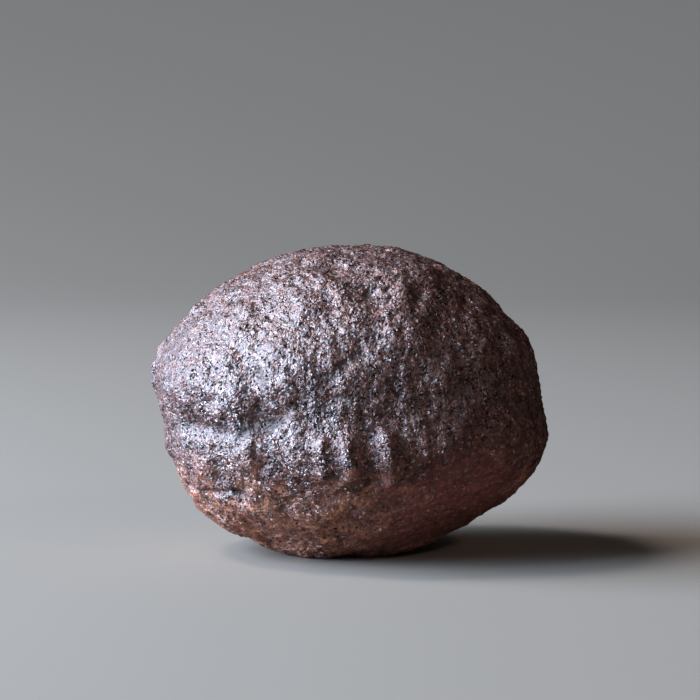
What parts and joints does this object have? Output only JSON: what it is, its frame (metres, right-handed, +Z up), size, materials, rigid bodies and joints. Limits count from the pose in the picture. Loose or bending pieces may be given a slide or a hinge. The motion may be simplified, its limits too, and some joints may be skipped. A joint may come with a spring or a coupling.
{
  "type": "moqui marble",
  "caption": "Rounded iron-oxide and sandstone concretion with a waist ridge, resting on a small flat spot.",
  "frame": {"origin": "middle of the bounding box's bottom, in the plane of the flat spot that the stone rests on", "axes": "+X along the stone's longest extent, +Y from its front face to its back, +Z up from the flat spot"},
  "size_m": [0.0472, 0.0438, 0.0363],
  "materials": {
    "iron_stone": "rough sand-grained dark chocolate brown crust with a metallic sheen on its grains and rust on its underside"
  },
  "bodies": {
    "root": {"moqui_marble": "iron_stone"}
  },
  "joints": []
}
